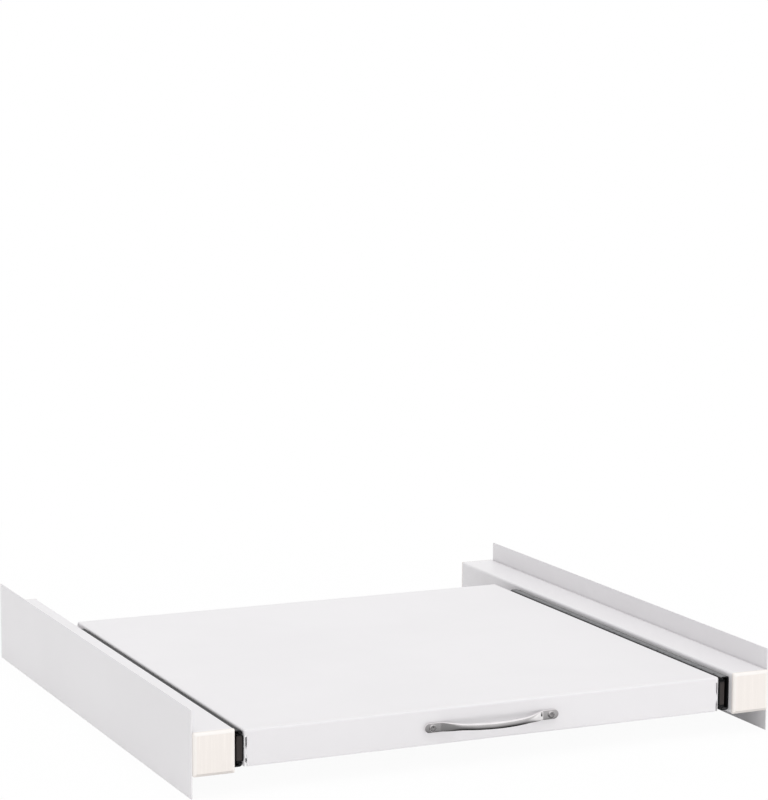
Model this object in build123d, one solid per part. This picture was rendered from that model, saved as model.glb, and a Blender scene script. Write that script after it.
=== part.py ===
"""Stacking kit with a pull-out shelf.

Two side plates straddle what stands below and above. A box beam is spot welded inside
each plate and carries the upper load. Between the beams a folded steel shelf runs out to
the front on a pair of ball slides, pulled by a bow handle.

Frame: +Z up, +X right seen from the front, the front towards -Y, millimetres.
Origin: under the middle of the whole object's box, level with the plates' lower edges.
"""

from build123d import *
from math import atan, cos, radians, sin
import os

# Overall
OVERALL_W = 620.0  # over the outer faces of the side plates
FRAME_D = 610.0  # front to back along the side plates
PLATE_H = 84.5
PLATE_T = 1.2
PLATE_CORNER_R = 1.0
PLATE_EDGE_R = 0.4

# Box beams and their end caps
BEAM_W = 41.0
BEAM_H = 42.0
BEAM_WALL = 1.5
BEAM_R = 2.5  # outside corners of the tube
CAP_T = 3.8  # cap's flange, which stands in front of the tube's end
CAP_CORNER_R = 3.4
CAP_EDGE_R = 3.0
CAP_PLUG_L = 22.0
CAP_PLUG_WALL = 2.0
CAP_PLUG_GAP = 1.0  # plug to tube wall, bridged by the ribs
CAP_RIB_W = 1.5
CAP_RIB_SPREAD = 0.28  # ribs off the plug's middle, as a share of its width or height

# Ball slides, as a section across the gap between beam and shelf
SLIDE_T = 11.6  # beam face to shelf side
SLIDE_H = 34.5
SLIDE_SET = 5.6  # rails' front ends behind the frame's front edge
SLIDE_DROP = 0.7  # slide's middle below the beam's middle
RAIL_SHEET = 1.2
RAIL_BEND_R = 1.2  # inside radius of the rails' web bends
LIP_GAP = 1.5  # outer rail's lip to the shelf
LIP_DROP = 1.2  # outer rail's lip below the ball's centre
INNER_LIP_ARC = 75.0  # degrees of the inner rail's lip around its balls
BALL_D = 3.0
BALL_GAP = 0.06  # ball to race, radial
POCKET_GAP = 0.05  # ball to its pocket in the cage, radial
BALL_PITCH = 20.0
CAGE_L = 102.4
CAGE_T = 0.4
CAGE_GAP = 0.25  # cage arm's edge to the outer rail's lip
CAGE_BEND_R = 0.8
STOP_L = 6.0  # length of the stops pressed into the races
STOP_CLEAR = 0.6  # stop to the race across from it
STOP_GAP = 0.3  # stop to cage end at full travel
BUMPER_L = 8.0
BUMPER_GAP = 0.25
BUMPER_R = 1.0
PLUG_SET = 0.4  # front plug behind the rails' front ends
PLUG_L = 12.0
PLUG_CLEAR = 3.3  # front plug to the outer rail's web
PLUG_EDGE_R = 1.0
STUD_R = 2.5  # moulded stud that holds a plug or bumper in its rail
STUD_GAP = 0.05

# Pull-out shelf
SHELF_DROP = 4.5  # shelf's top below the beams' top
SHELF_LIFT = 2.0  # shelf's lower edge above the beams' underside
SHELF_SET = 5.5  # shelf's front face behind the frame's front edge
REAR_ROOM = 110.0  # shelf's rear to the frame's rear edge
SHELF_SHEET = 1.2
TOP_BEND_R = 2.2  # outside radii of the folds
HEM_BEND_R = 2.2
CORNER_R = 2.4  # upright corners, where the side flanges wrap round
HEM_W = 12.0  # lips turned in along the lower edges
SEAM_IN = 2.5  # seam's middle line to the shelf's side
SEAM_W = 1.7
SEAM_POINT = 4.0  # length over which each slot comes to a point at the weld
SEAM_DROP = 5.5  # seam's upper end below the shelf's top
TACK_LIFT = 12.8  # weld's lower end above the shelf's lower edge
TACK_L = 3.8  # length of the weld that bridges the seam
SLIDE_SHORT = 44.5  # how much shorter the rails are than the shelf
STIFFENER_TOP_W = 30.0
STIFFENER_H = 14.0
STIFFENER_FOOT_W = 12.0
STIFFENER_SHEET = 1.0
STIFFENER_BEND_R = 2.0
STIFFENER_CLEAR = 2.0  # stiffener's ends to the shelf's sides

# Bow handle
HANDLE_PITCH = 128.0  # screw to screw
HANDLE_OUT = 21.0  # shelf's front face to the front of the grip
PAD_END = 8.0  # screw to the pad's outer end
PAD_INNER = 4.0  # screw to the pad's inner end
PAD_H = 9.4
PAD_T = 3.0
GRIP_H = 6.6
GRIP_T = 5.0
PAD_END_R = 4.5
PAD_RIM_R = 0.8
NECK_R = 15.0  # radius where the grip leaves the pads
GRIP_ROUND = 0.42  # corner radius of the grip, as a share of its thickness
NECK_STATIONS = 5  # sections along each small arc
BOW_STATIONS = 5  # sections along each half of the wide arc

# Cross straps under the beams, and grip pads of the same thickness
STRAP_T = 2.0
STRAP_W = 40.0
STRAP_R = 4.0
STRAP_END_GAP = 0.5  # strap's end to the side plate
FRONT_STRAP_SET = 70.0
REAR_STRAP_SET = 30.0
STRAP_LIP_H = 16.0  # rear strap's upright lip, over the strap's underside
STRAP_LIP_GAP = 6.0  # lip's ends to the beams
STRAP_SCREW_PITCH = 22.0
GRIP_PAD_W = 24.0
GRIP_PAD_END = 15.0  # pads' ends to the frame's edges and to the straps
GRIP_PAD_R = 3.0

# Fasteners
SCREW_R = 2.0  # M4
HOLE_GAP = 0.15  # screw to clearance hole, radial
BITE_GAP = 0.02  # screw to the wall it cuts its thread in, radial
HEAD_R = 3.5
HEAD_H = 2.2
LOW_HEAD_R = 3.6
LOW_HEAD_H = 1.6
CSK_HEAD_R = 4.0
SCREW_TIP = 5.0  # length of screw past a wall it cuts its thread in
NUT_TIP = 1.5  # length of screw past a nut
RECESS_L = 4.2
RECESS_W = 0.9
RECESS_D = 1.0
NUT_AF = 7.0
NUT_H = 3.2
RAIL_SCREW_IN = 35.0  # outer rail's end screws from the rail's ends
SHELF_SCREW_IN = 26.0  # inner rail's end screws from the rail's ends
PAST = 1.0  # how far a cutter runs past the faces it cuts

# Worked out
BEAM_X = OVERALL_W / 2 - PLATE_T - BEAM_W  # beam's inner face
BEAM_Z = (PLATE_H - BEAM_H) / 2
BEAM_TOP = BEAM_Z + BEAM_H
SLIDE_Z = BEAM_Z + BEAM_H / 2 - SLIDE_DROP
FRONT_Y = -(FRAME_D + CAP_T - (HANDLE_OUT - SHELF_SET)) / 2
REAR_Y = FRONT_Y + FRAME_D
SHELF_X = BEAM_X - SLIDE_T
SHELF_D = FRAME_D - SHELF_SET - REAR_ROOM
SHELF_H = BEAM_H - SHELF_DROP - SHELF_LIFT
SHELF_Y = FRONT_Y + SHELF_SET
SHELF_TOP = BEAM_TOP - SHELF_DROP
SLIDE_L = SHELF_D - SLIDE_SHORT
SLIDE_Y = FRONT_Y + SLIDE_SET
OUTER_L = SLIDE_L + BUMPER_GAP + BUMPER_L
TRAVEL = SLIDE_L - CAGE_L - 2 * STOP_L - 2 * STOP_GAP
CAGE_Y = SLIDE_Y + STOP_L + STOP_GAP + TRAVEL / 2

# The slide's section: u runs from the beam's face to the shelf, v up from its middle
BALL_R = BALL_D / 2
RACE_R = BALL_R + BALL_GAP
HALF_SHEET = RAIL_SHEET / 2
LIP_U = SLIDE_T - LIP_GAP - RAIL_SHEET  # inner side of the outer rail's lip
BALL_U = LIP_U - RACE_R
BALL_V = SLIDE_H / 2 - RAIL_SHEET - RACE_R
INNER_TOP_V = BALL_V - RACE_R  # top of the inner rail's flange
INNER_WEB_U = SLIDE_T - RAIL_SHEET
HEAD_TOP_U = RAIL_SHEET + LOW_HEAD_H  # highest point of the outer rail's screws


def save(node, *shapes):
    """Writes one node's solids to its own file."""
    solids = [solid for shape in shapes for solid in shape.solids()]
    export_step(Compound(children=solids), f"parts/{node}.step")


def save_pair(name, *shapes):
    """Writes the right-hand shapes and their mirror images on the left."""
    save(name + "_right", *shapes)
    save(name + "_left", *[mirror(shape, about=Plane.YZ) for shape in shapes])


def corner_box(low, high):
    """A box between two corners."""
    size = [b - a for a, b in zip(low, high)]
    return Pos(*low) * Box(*size, align=(Align.MIN, Align.MIN, Align.MIN))


def rod(start, direction, radius, length):
    """A cylinder from start along a direction."""
    return extrude(Plane(start, z_dir=direction) * Circle(radius), length)


def slide_plane(y):
    """The right slide's section plane at y: its x is u and its y is v."""
    origin = (BEAM_X, y, SLIDE_Z)
    return Plane(origin=origin, x_dir=(-1, 0, 0), z_dir=(0, 1, 0))


def slide_point(u, y, v):
    """A point of the right slide, from its section coordinates."""
    return (BEAM_X - u, y, SLIDE_Z + v)


def slide_block(u, y, v):
    """A block of the right slide, from (low, high) pairs in u, y and v."""
    low = slide_point(u[1], y[0], v[0])
    high = slide_point(u[0], y[1], v[1])
    return corner_box(low, high)


def both_ways(half_path):
    """A path from the section's middle line and its mirror image below, as one wire."""
    half = [edge for piece in half_path for edge in piece.edges()]
    other = [edge for piece in half_path for edge in mirror(piece, about=Plane.XZ).edges()]
    return Wire(half + other)


def spaced(first, last, count):
    """Evenly spaced values from first to last."""
    step = (last - first) / (count - 1)
    return [first + step * i for i in range(count)]


def pan_screw(seat, direction, grip, head_r=HEAD_R, head_h=HEAD_H, tip=SCREW_TIP):
    """A cross-recessed pan screw. It points along direction, its head's underside on seat."""
    plane = Plane(seat, z_dir=direction)
    head = extrude(plane * Circle(head_r), -head_h)
    top = head.faces().sort_by(Axis(seat, direction))[0]
    head = fillet(top.edges(), head_h * 0.45)
    shank = extrude(plane * Circle(SCREW_R), grip + tip)
    shank = chamfer(shank.edges().sort_by(Axis(seat, direction))[-1], SCREW_R * 0.3)
    recess_plane = plane.offset(-head_h)
    cross = Rectangle(RECESS_L, RECESS_W) + Rectangle(RECESS_W, RECESS_L)
    return head + shank - extrude(recess_plane * cross, RECESS_D)


def hex_nut(seat, direction):
    """A hexagon nut whose washer face lies on seat and whose axis runs along direction."""
    across_corners = NUT_AF / cos(radians(30))
    outline = RegularPolygon(across_corners / 2, 6) - Circle(SCREW_R + BITE_GAP)
    return extrude(Plane(seat, z_dir=direction) * outline, NUT_H)


def side_plate():
    """Flat steel plate, right-hand side, that keeps the stack in line."""
    outline = Pos(0, PLATE_H / 2) * RectangleRounded(FRAME_D, PLATE_H, PLATE_CORNER_R)
    middle = (OVERALL_W / 2, (FRONT_Y + REAR_Y) / 2, 0)
    plane = Plane(origin=middle, x_dir=(0, -1, 0), z_dir=(-1, 0, 0))
    plate = extrude(plane * outline, PLATE_T)
    return fillet(plate.faces().filter_by(Axis.X).edges(), PLATE_EDGE_R)


def beam_plane(y):
    """Section plane of the right beam, centred in the tube."""
    origin = (BEAM_X + BEAM_W / 2, y, BEAM_Z + BEAM_H / 2)
    return Plane(origin=origin, x_dir=(1, 0, 0), z_dir=(0, -1, 0))


def rail_screw_ys():
    """Where the outer rail is screwed to the beam."""
    return spaced(SLIDE_Y + RAIL_SCREW_IN, SLIDE_Y + SLIDE_L - RAIL_SCREW_IN, 3)


def shelf_screw_ys():
    """Where the inner rail is screwed to the shelf."""
    return spaced(SLIDE_Y + SHELF_SCREW_IN, SLIDE_Y + SLIDE_L - SHELF_SCREW_IN, 3)


def strap_y(front):
    """Low Y of the front or the rear strap."""
    return FRONT_Y + FRONT_STRAP_SET if front else REAR_Y - REAR_STRAP_SET - STRAP_W


def strap_screw_points(side, front):
    """The two screw points at one end of a strap, on its underside."""
    x = side * (BEAM_X + BEAM_W / 2)
    middle = strap_y(front) + STRAP_W / 2
    z = BEAM_Z - STRAP_T
    return [(x, middle + half * STRAP_SCREW_PITCH / 2, z) for half in (-1, 1)]


def beam():
    """Right-hand box beam, with the holes for the slide's and the straps' screws."""
    outline = RectangleRounded(BEAM_W, BEAM_H, BEAM_R)
    bore_size = (BEAM_W - 2 * BEAM_WALL, BEAM_H - 2 * BEAM_WALL)
    bore = RectangleRounded(*bore_size, BEAM_R - BEAM_WALL)
    tube = extrude(beam_plane(REAR_Y) * (outline - bore), FRAME_D)
    hole_r = SCREW_R + BITE_GAP
    for y in rail_screw_ys():
        start = (BEAM_X - PAST, y, SLIDE_Z)
        tube -= rod(start, (1, 0, 0), hole_r, BEAM_WALL + 2 * PAST)
    for front in (True, False):
        for point in strap_screw_points(1, front):
            tube -= rod(point, (0, 0, 1), hole_r, STRAP_T + BEAM_WALL + PAST)
    return tube


def end_cap(front):
    """Plastic cap of the right beam: a rounded flange and a ribbed hollow plug."""
    end_y = FRONT_Y if front else REAR_Y
    into = 1 if front else -1
    face_plane = beam_plane(end_y - into * CAP_T)
    outline = RectangleRounded(BEAM_W, BEAM_H, CAP_CORNER_R)
    flange = extrude(face_plane * outline, -into * CAP_T)
    face = flange.faces().sort_by(Axis.Y)[0 if front else -1]
    flange = fillet(face.edges(), CAP_EDGE_R)
    wide = BEAM_W - 2 * BEAM_WALL
    tall = BEAM_H - 2 * BEAM_WALL
    inset = 2 * CAP_PLUG_GAP
    plug = RectangleRounded(wide - inset, tall - inset, CAP_PLUG_GAP)
    hollow = 2 * (CAP_PLUG_GAP + CAP_PLUG_WALL)
    plug -= Rectangle(wide - hollow, tall - hollow)
    plug_plane = beam_plane(end_y)
    skirt = extrude(plug_plane * plug, -into * CAP_PLUG_L)
    rib_l = CAP_PLUG_L - 2 * CAP_PLUG_GAP
    upright = Rectangle(CAP_RIB_W, tall) - Rectangle(CAP_RIB_W, tall - inset)
    level = Rectangle(wide, CAP_RIB_W) - Rectangle(wide - inset, CAP_RIB_W)
    for share in (-CAP_RIB_SPREAD, CAP_RIB_SPREAD):
        skirt += extrude(plug_plane * Pos(share * wide, 0) * upright, -into * rib_l)
        skirt += extrude(plug_plane * Pos(0, share * tall) * level, -into * rib_l)
    return flange + skirt


def outer_rail_section():
    """Outer rail: web on the beam, flanges, and lips turned down around the balls."""
    bend = RAIL_BEND_R + HALF_SHEET
    race = RACE_R + HALF_SHEET
    flange_v = SLIDE_H / 2 - HALF_SHEET
    web = Line((HALF_SHEET, 0), (HALF_SHEET, flange_v - bend))
    corner = JernArc(start=web @ 1, tangent=web % 1, radius=bend, arc_size=-90)
    flange = Line(corner @ 1, (BALL_U, flange_v))
    curl = JernArc(start=flange @ 1, tangent=flange % 1, radius=race, arc_size=-90)
    lip = Line(curl @ 1, (BALL_U + race, BALL_V - LIP_DROP))
    return trace(both_ways([web, corner, flange, curl, lip]), line_width=RAIL_SHEET)


def inner_rail_section():
    """Inner rail: web on the shelf, flanges towards the beam, and lips curled up."""
    bend = RAIL_BEND_R + HALF_SHEET
    flange_v = INNER_TOP_V - HALF_SHEET
    web_u = SLIDE_T - HALF_SHEET
    web = Line((web_u, 0), (web_u, flange_v - bend))
    corner = JernArc(start=web @ 1, tangent=web % 1, radius=bend, arc_size=90)
    flange = Line(corner @ 1, (BALL_U, flange_v))
    lip = JernArc(
        start=flange @ 1,
        tangent=flange % 1,
        radius=RACE_R + HALF_SHEET,
        arc_size=-INNER_LIP_ARC,
    )
    return trace(both_ways([web, corner, flange, lip]), line_width=RAIL_SHEET)


def outer_rail():
    """Right outer rail, with the stops pressed into its front end."""
    rail = extrude(slide_plane(SLIDE_Y) * outer_rail_section(), OUTER_L)
    stop_u = (BALL_U - STOP_CLEAR, LIP_U + HALF_SHEET)
    stop_v = (INNER_TOP_V + STOP_CLEAR + STOP_GAP, SLIDE_H / 2 - HALF_SHEET)
    for v in (stop_v, (-stop_v[1], -stop_v[0])):
        rail += slide_block(stop_u, (SLIDE_Y, SLIDE_Y + STOP_L), v)
    through = RAIL_SHEET + 2 * PAST
    for y in rail_screw_ys():
        start = slide_point(-PAST, y, 0)
        rail -= rod(start, (-1, 0, 0), SCREW_R + HOLE_GAP, through)
    start = slide_point(-PAST, SLIDE_Y + OUTER_L - BUMPER_L / 2, 0)
    rail -= rod(start, (-1, 0, 0), STUD_R + STUD_GAP, through)
    return rail


def inner_rail():
    """Right inner rail, with the stops pressed into its rear end."""
    rail = extrude(slide_plane(SLIDE_Y) * inner_rail_section(), SLIDE_L)
    rear = SLIDE_Y + SLIDE_L
    stop_u = (BALL_U - RACE_R + STOP_GAP, BALL_U + STOP_CLEAR)
    stop_v = (INNER_TOP_V - HALF_SHEET, BALL_V + STOP_CLEAR)
    for v in (stop_v, (-stop_v[1], -stop_v[0])):
        rail += slide_block(stop_u, (rear - STOP_L, rear), v)
    through = RAIL_SHEET + 2 * PAST
    for y in shelf_screw_ys():
        start = slide_point(SLIDE_T + PAST, y, 0)
        rail -= rod(start, (1, 0, 0), SCREW_R + HOLE_GAP, through)
    start = slide_point(SLIDE_T + PAST, SLIDE_Y + PLUG_SET + PLUG_L / 2, 0)
    rail -= rod(start, (1, 0, 0), STUD_R + STUD_GAP, through)
    return rail


def ball_ys():
    """The balls' places along the right cage."""
    count = int((CAGE_L - BALL_PITCH / 2) / BALL_PITCH) + 1
    middle = CAGE_Y + CAGE_L / 2
    half = (count - 1) / 2 * BALL_PITCH
    return spaced(middle - half, middle + half, count)


def ball_cage():
    """Right ball cage: a strip behind the inner rail whose arms hold the balls."""
    bend = CAGE_BEND_R + CAGE_T / 2
    web_u = HEAD_TOP_U + CAGE_T
    web = Line((web_u, 0), (web_u, BALL_V - bend))
    corner = JernArc(start=web @ 1, tangent=web % 1, radius=bend, arc_size=-90)
    arm = Line(corner @ 1, (LIP_U - CAGE_GAP, BALL_V))
    section = trace(both_ways([web, corner, arm]), line_width=CAGE_T)
    cage = extrude(slide_plane(CAGE_Y) * section, CAGE_L)
    tall = 2 * (BALL_V + CAGE_T)
    for y in ball_ys():
        foot = slide_point(BALL_U, y, -tall / 2)
        cage -= rod(foot, (0, 0, 1), BALL_R + POCKET_GAP, tall)
    return cage


def balls():
    """The right cage's balls, in an upper and a lower row."""
    places = [slide_point(BALL_U, y, v) for y in ball_ys() for v in (-BALL_V, BALL_V)]
    return [Pos(*place) * Sphere(BALL_R) for place in places]


def rear_bumper():
    """Rubber bumper on the outer rail's web, where the inner rail comes to rest."""
    low_y = SLIDE_Y + OUTER_L - BUMPER_L
    half = INNER_TOP_V - RAIL_SHEET
    block = slide_block((RAIL_SHEET, LIP_U), (low_y, low_y + BUMPER_L), (-half, half))
    block = fillet(block.edges().filter_by(Axis.Y), BUMPER_R)
    stud_seat = slide_point(0, low_y + BUMPER_L / 2, 0)
    return block + rod(stud_seat, (-1, 0, 0), STUD_R, RAIL_SHEET + PAST)


def front_plug():
    """Moulded plug that closes the front end of the inner rail."""
    low_y = SLIDE_Y + PLUG_SET
    half = INNER_TOP_V - RAIL_SHEET
    u_range = (RAIL_SHEET + PLUG_CLEAR, INNER_WEB_U)
    block = slide_block(u_range, (low_y, low_y + PLUG_L), (-half, half))
    shelf_side = block.faces().sort_by(Axis.X)[0]
    block = fillet(shelf_side.edges().filter_by(Axis.Y), RAIL_BEND_R)
    beam_side = block.faces().sort_by(Axis.X)[-1]
    block = fillet(beam_side.edges().filter_by(Axis.Z), PLUG_EDGE_R)
    stud_seat = slide_point(INNER_WEB_U - PAST, low_y + PLUG_L / 2, 0)
    return block + rod(stud_seat, (-1, 0, 0), STUD_R, RAIL_SHEET + PAST)


def outer_rail_screws():
    """Low-headed screws through the outer rail into the beam."""
    grip = RAIL_SHEET + BEAM_WALL
    return [
        pan_screw(slide_point(RAIL_SHEET, y, 0), (1, 0, 0), grip, LOW_HEAD_R, LOW_HEAD_H)
        for y in rail_screw_ys()
    ]


def inner_rail_screws():
    """Screws through the inner rail and the shelf's side flange."""
    grip = RAIL_SHEET + SHELF_SHEET + NUT_H
    return [
        pan_screw(slide_point(INNER_WEB_U, y, 0), (-1, 0, 0), grip, tip=NUT_TIP)
        for y in shelf_screw_ys()
    ]


def inner_rail_nuts():
    """Nuts of the inner rail's screws, inside the shelf's side flange."""
    seat_u = SLIDE_T + SHELF_SHEET
    return [hex_nut(slide_point(seat_u, y, 0), (-1, 0, 0)) for y in shelf_screw_ys()]


def seam(side):
    """Two slots beside a side flange that come to a point at the weld between them."""
    middle = side * (SHELF_X - SEAM_IN)
    bottom = SHELF_TOP - SHELF_H
    tack = bottom + TACK_LIFT
    plane = Plane(origin=(0, SHELF_Y - PAST, 0), x_dir=(1, 0, 0), z_dir=(0, -1, 0))
    slots = []
    for point, wide in ((tack, bottom - PAST), (tack + TACK_L, SHELF_TOP - SEAM_DROP)):
        shoulder = point + (SEAM_POINT if wide > point else -SEAM_POINT)
        left, right = middle - SEAM_W / 2, middle + SEAM_W / 2
        corners = [(left, wide), (right, wide), (right, shoulder), (middle, point)]
        outline = make_face(Polyline(*corners, (left, shoulder), close=True))
        slots.append(extrude(plane * outline, -(SHELF_SHEET + 2 * PAST)))
    return slots


def tray_block(inset):
    """The shelf's outline as a rounded block, drawn in by inset on every side."""
    low = (-SHELF_X + inset, SHELF_Y + inset, SHELF_TOP - SHELF_H + inset)
    high = (SHELF_X - inset, SHELF_Y + SHELF_D - inset, SHELF_TOP - inset)
    block = corner_box(low, high)
    block = fillet(block.edges().filter_by(Axis.Z), CORNER_R - inset)
    block = fillet(block.edges().group_by(Axis.Z)[-1], TOP_BEND_R - inset)
    return fillet(block.edges().group_by(Axis.Z)[0], HEM_BEND_R - inset)


def handle_screw_xs():
    """The handle's screws, left and right."""
    return (-HANDLE_PITCH / 2, HANDLE_PITCH / 2)


def handle_z():
    """Height of the handle's middle line: the middle of the shelf's front face."""
    return SHELF_TOP - SHELF_H / 2


def shelf_tray():
    """The shelf: one folded sheet with four flanges, hems and open corner seams."""
    tray = tray_block(0) - tray_block(SHELF_SHEET)
    bottom = SHELF_TOP - SHELF_H
    tray -= corner_box(
        (-SHELF_X + HEM_W, SHELF_Y + HEM_W, bottom - PAST),
        (SHELF_X - HEM_W, SHELF_Y + SHELF_D - HEM_W, bottom + SHELF_SHEET + PAST),
    )
    through = SHELF_SHEET + 2 * PAST
    for side in (-1, 1):
        for slot in seam(side):
            tray -= slot
        edge = side * (SHELF_X - SHELF_SHEET)
        x_range = sorted((edge, edge - side * HEM_W))
        for y in (SHELF_Y + SHELF_SHEET, SHELF_Y + SHELF_D - SHELF_SHEET - HEM_W):
            low = (x_range[0], y, bottom - PAST)
            tray -= corner_box(low, (x_range[1], y + HEM_W, bottom + HEM_BEND_R))
        for y in shelf_screw_ys():
            start = (side * (SHELF_X + PAST), y, SLIDE_Z)
            tray -= rod(start, (-side, 0, 0), SCREW_R + HOLE_GAP, through)
    for x in handle_screw_xs():
        start = (x, SHELF_Y - PAST, handle_z())
        tray -= rod(start, (0, 1, 0), SCREW_R + HOLE_GAP, through)
    return tray


def shelf_stiffener():
    """Hat-section rib spot welded across the underside of the shelf's top."""
    top_z = SHELF_TOP - SHELF_SHEET
    half = STIFFENER_TOP_W / 2
    foot = STIFFENER_SHEET / 2
    crown = foot - STIFFENER_H
    points = [
        (-half - STIFFENER_FOOT_W, -foot),
        (-half, -foot),
        (-half, crown),
        (half, crown),
        (half, -foot),
        (half + STIFFENER_FOOT_W, -foot),
    ]
    path = FilletPolyline(*points, radius=STIFFENER_BEND_R)
    section = trace(path, line_width=STIFFENER_SHEET)
    length = 2 * (SHELF_X - SHELF_SHEET - STIFFENER_CLEAR)
    origin = (-length / 2, SHELF_Y + SHELF_D / 2, top_z)
    plane = Plane(origin=origin, x_dir=(0, 1, 0), z_dir=(1, 0, 0))
    return extrude(plane * section, length)


def bow_stations():
    """Places along the grip's middle line, as (x, distance out, slope in radians).

    The line is one wide arc between two small ones, which leave the pads flush.
    """
    half_chord = HANDLE_PITCH / 2 - PAD_INNER
    rise = HANDLE_OUT - GRIP_T / 2 - PAD_T / 2
    turn = 2 * atan(rise / half_chord)
    bow_r = half_chord / sin(turn) - NECK_R
    half = []
    for angle in spaced(0, turn, NECK_STATIONS):
        x = half_chord - NECK_R * sin(angle)
        half.append((x, NECK_R * (1 - cos(angle)), -angle))
    for angle in spaced(turn, 0, BOW_STATIONS)[1:]:
        half.append((bow_r * sin(angle), rise - bow_r * (1 - cos(angle)), -angle))
    left = [(-x, out, -angle) for x, out, angle in half]
    line = left + half[-2::-1]
    return [(x, PAD_T / 2 + out, angle, out / rise) for x, out, angle in line]


def handle():
    """Bow handle: a grip lofted between two flat pads with rounded outer ends."""
    sections = []
    for x, out, angle, share in bow_stations():
        blend = share * share * (3 - 2 * share)
        tall = PAD_H + (GRIP_H - PAD_H) * blend
        thick = PAD_T + (GRIP_T - PAD_T) * blend
        plane = Plane(
            origin=(x, SHELF_Y - out, handle_z()),
            x_dir=(0, 0, 1),
            z_dir=(cos(angle), -sin(angle), 0),
        )
        sections.append(plane * RectangleRounded(tall, thick, thick * GRIP_ROUND))
    solid = loft(sections)
    behind = corner_box((-HANDLE_PITCH, 0, 0), (HANDLE_PITCH, PAD_T, PLATE_H))
    solid -= Pos(0, SHELF_Y, 0) * behind
    pad_l = PAD_END + PAD_INNER
    for side in (-1, 1):
        x = side * (HANDLE_PITCH + PAD_END - PAD_INNER) / 2
        plane = Plane((x, SHELF_Y, handle_z()), x_dir=(1, 0, 0), z_dir=(0, -1, 0))
        pad = extrude(plane * Rectangle(pad_l, PAD_H), PAD_T)
        outward = Axis((0, 0, 0), (side, 0, 0))
        ends = pad.edges().filter_by(Axis.Y).group_by(outward)[-1]
        pad = fillet(ends, min(PAD_END_R, PAD_H * 0.48))
        rim = pad.faces().sort_by(Axis.Y)[0].edges().sort_by(outward)[1:]
        solid += fillet(rim, PAD_RIM_R)
    for x in handle_screw_xs():
        start = (x, SHELF_Y + PAST, handle_z())
        solid -= rod(start, (0, -1, 0), SCREW_R + HOLE_GAP, PAD_T + 2 * PAST)
    return solid


def handle_screws():
    """Screws through the handle's pads and the shelf's front flange."""
    grip = PAD_T + SHELF_SHEET + NUT_H
    seats = [(x, SHELF_Y - PAD_T, handle_z()) for x in handle_screw_xs()]
    return [pan_screw(seat, (0, 1, 0), grip, tip=NUT_TIP) for seat in seats]


def handle_nuts():
    """Nuts of the handle's screws, behind the front flange."""
    seats = [(x, SHELF_Y + SHELF_SHEET, handle_z()) for x in handle_screw_xs()]
    return [hex_nut(seat, (0, 1, 0)) for seat in seats]


def cross_strap(front):
    """Flat steel strap under both beams. The rear one has an upright lip between them."""
    low_y = strap_y(front)
    length = OVERALL_W - 2 * (PLATE_T + STRAP_END_GAP)
    plane = Plane(origin=(0, low_y + STRAP_W / 2, BEAM_Z - STRAP_T))
    strap = extrude(plane * RectangleRounded(length, STRAP_W, STRAP_R), STRAP_T)
    if not front:
        lip_x = BEAM_X - STRAP_LIP_GAP
        lip_y = low_y + STRAP_W
        low = (-lip_x, lip_y - STRAP_T, BEAM_Z - STRAP_T)
        strap += corner_box(low, (lip_x, lip_y, BEAM_Z - STRAP_T + STRAP_LIP_H))
    for side in (-1, 1):
        for point in strap_screw_points(side, front):
            socket = Plane(point) * Circle(CSK_HEAD_R + HOLE_GAP)
            throat = Plane(point).offset(STRAP_T) * Circle(SCREW_R + HOLE_GAP)
            strap -= loft([socket, throat])
    return strap


def strap_screws():
    """Countersunk screws that hold both straps to the beams' undersides."""
    screws = []
    for front in (True, False):
        for side in (-1, 1):
            for point in strap_screw_points(side, front):
                base = Plane(point)
                head = loft([base * Circle(CSK_HEAD_R), base.offset(STRAP_T) * Circle(SCREW_R)])
                shank = rod(point, (0, 0, 1), SCREW_R, STRAP_T + BEAM_WALL + SCREW_TIP)
                cross = Rectangle(RECESS_L, RECESS_W) + Rectangle(RECESS_W, RECESS_L)
                screws.append(head + shank - extrude(base * cross, RECESS_D))
    return screws


def grip_pads():
    """Ribbed rubber pads under the right beam, in the stretches between the straps."""
    stretches = [
        (FRONT_Y, strap_y(True)),
        (strap_y(True) + STRAP_W, strap_y(False)),
    ]
    x = BEAM_X + (BEAM_W - GRIP_PAD_W) / 2
    pads = []
    for start, end in stretches:
        low = (x, start + GRIP_PAD_END, BEAM_Z - STRAP_T)
        high = (x + GRIP_PAD_W, end - GRIP_PAD_END, BEAM_Z)
        pad = corner_box(low, high)
        pads.append(fillet(pad.edges().filter_by(Axis.Z), GRIP_PAD_R))
    return pads


def main():
    """Builds every node and writes it."""
    os.makedirs("parts", exist_ok=True)
    save_pair("side_plate", side_plate())
    save_pair("beam", beam())
    save_pair("end_cap_front", end_cap(True))
    save_pair("end_cap_rear", end_cap(False))
    save_pair("outer_rail", outer_rail())
    save_pair("inner_rail", inner_rail())
    save_pair("ball_cage", ball_cage())
    save_pair("balls", *balls())
    save_pair("rear_bumper", rear_bumper())
    save_pair("front_plug", front_plug())
    save_pair("outer_rail_screws", *outer_rail_screws())
    save_pair("inner_rail_screws", *inner_rail_screws())
    save_pair("inner_rail_nuts", *inner_rail_nuts())
    save_pair("grip_pads", *grip_pads())
    save("shelf_tray", shelf_tray())
    save("shelf_stiffener", shelf_stiffener())
    save("handle", handle())
    save("handle_screws", *handle_screws())
    save("handle_nuts", *handle_nuts())
    save("cross_strap_front", cross_strap(True))
    save("cross_strap_rear", cross_strap(False))
    save("strap_screws", *strap_screws())
    print(f"shelf travel {TRAVEL:.1f} mm, frame front edge at y {FRONT_Y:.2f} mm")


main()
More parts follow.
